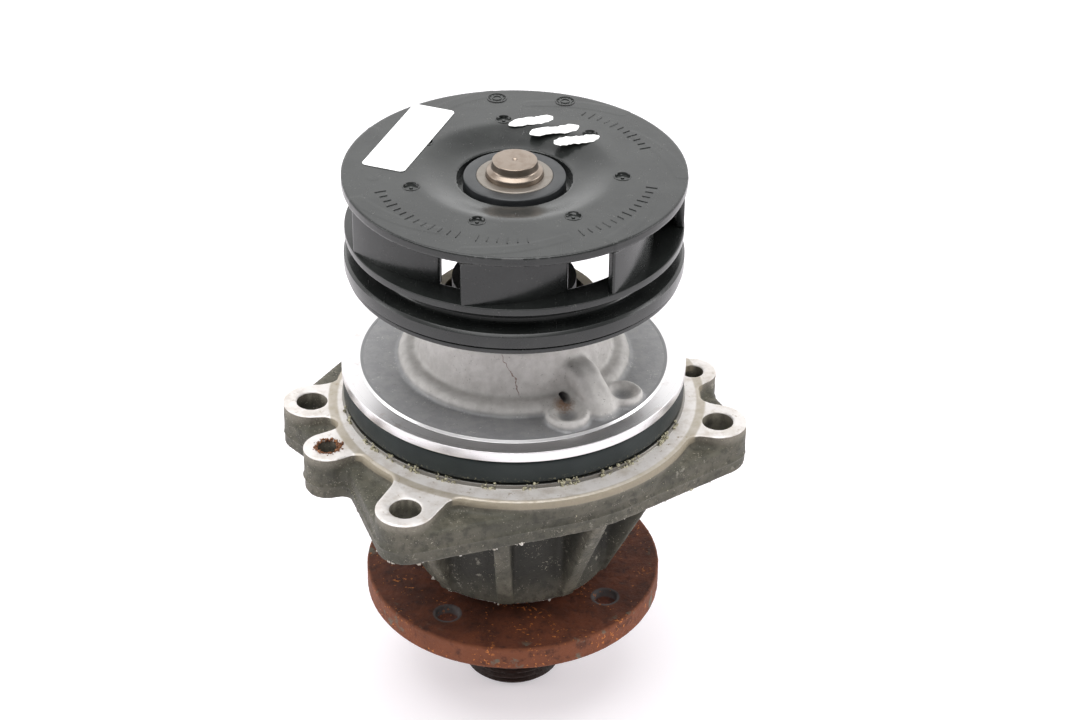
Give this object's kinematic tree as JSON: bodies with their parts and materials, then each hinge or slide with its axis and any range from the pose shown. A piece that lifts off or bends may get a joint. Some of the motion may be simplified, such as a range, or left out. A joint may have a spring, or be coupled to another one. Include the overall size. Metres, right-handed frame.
{
  "type": "water pump",
  "caption": "Mechanical engine coolant pump: ribbed cast housing with eared flange and spigot, closed impeller, shaft seal, bearing, pulley hub.",
  "frame": {"origin": "centre of the spigot in the plane of the mounting face, on the shaft axis", "axes": "+Z along the shaft towards the impeller; +X and +Y across the mounting face, with the pair of close-set holes towards -X"},
  "size_m": [0.1076, 0.104, 0.1415],
  "materials": {
    "cast_aluminium": "blasted casting with machined faces and grime",
    "seal_rubber": "dull black rubber",
    "impeller_plastic": "black glass-filled plastic, satin",
    "sleeve_plastic": "dark grey plastic",
    "bush_metal": "light sintered metal",
    "shaft_steel": "turned steel with a brown film",
    "rusty_steel": "even brown rust with orange specks",
    "bearing_steel": "ground bearing steel",
    "cage_plastic": "brown nylon",
    "seal_brass": "drawn brass",
    "spring_steel": "bright spring steel",
    "carbon": "lapped carbon",
    "ceramic": "off-white ceramic",
    "label_white": "blank white sticker"
  },
  "bodies": {
    "housing": {"housing": "cast_aluminium", "spigot_seal_ring": "seal_rubber", "bearing_outer_ring": "bearing_steel", "bearing_seal_pulley_side": "seal_rubber", "bearing_seal_impeller_side": "seal_rubber", "seal_cup": "seal_brass", "seal_bellows": "seal_rubber", "seal_spring": "spring_steel"},
    "rotor": {"shaft": "shaft_steel", "slinger": "spring_steel", "seal_seat": "ceramic", "seat_boot": "seal_rubber", "impeller_bush": "bush_metal", "impeller_sleeve": "sleeve_plastic", "impeller": "impeller_plastic", "impeller_shroud": "impeller_plastic", "impeller_label": "label_white", "pulley_hub": "rusty_steel"},
    "balls_pulley_side": {"bearing_balls_pulley_side": "bearing_steel", "bearing_cage_pulley_side": "cage_plastic"},
    "balls_impeller_side": {"bearing_balls_impeller_side": "bearing_steel", "bearing_cage_impeller_side": "cage_plastic"},
    "seal_face": {"carbon_ring": "carbon", "seal_driver": "spring_steel"}
  },
  "joints": [
    {"name": "rotor_spin", "type": "hinge", "parent": "housing", "child": "rotor", "pos_m": [0, 0, 0], "axis": [0, 0, 1], "continuous": true},
    {"name": "cage_spin_pulley_side", "type": "hinge", "parent": "housing", "child": "balls_pulley_side", "pos_m": [0, 0, -0.034], "axis": [0, 0, 1], "continuous": true},
    {"name": "cage_spin_impeller_side", "type": "hinge", "parent": "housing", "child": "balls_impeller_side", "pos_m": [0, 0, -0.015], "axis": [0, 0, 1], "continuous": true},
    {"name": "seal_float", "type": "slide", "parent": "housing", "child": "seal_face", "axis": [0, 0, 1], "range_m": [-0.0008, 0], "stiffness_N_per_m": 500, "springref_m": 0.004, "deforming": ["seal_spring", "seal_bellows"]}
  ],
  "couplings": [
    {"joint": "cage_spin_pulley_side", "follows": "rotor_spin", "ratio": 0.3562},
    {"joint": "cage_spin_impeller_side", "follows": "rotor_spin", "ratio": 0.3562}
  ]
}
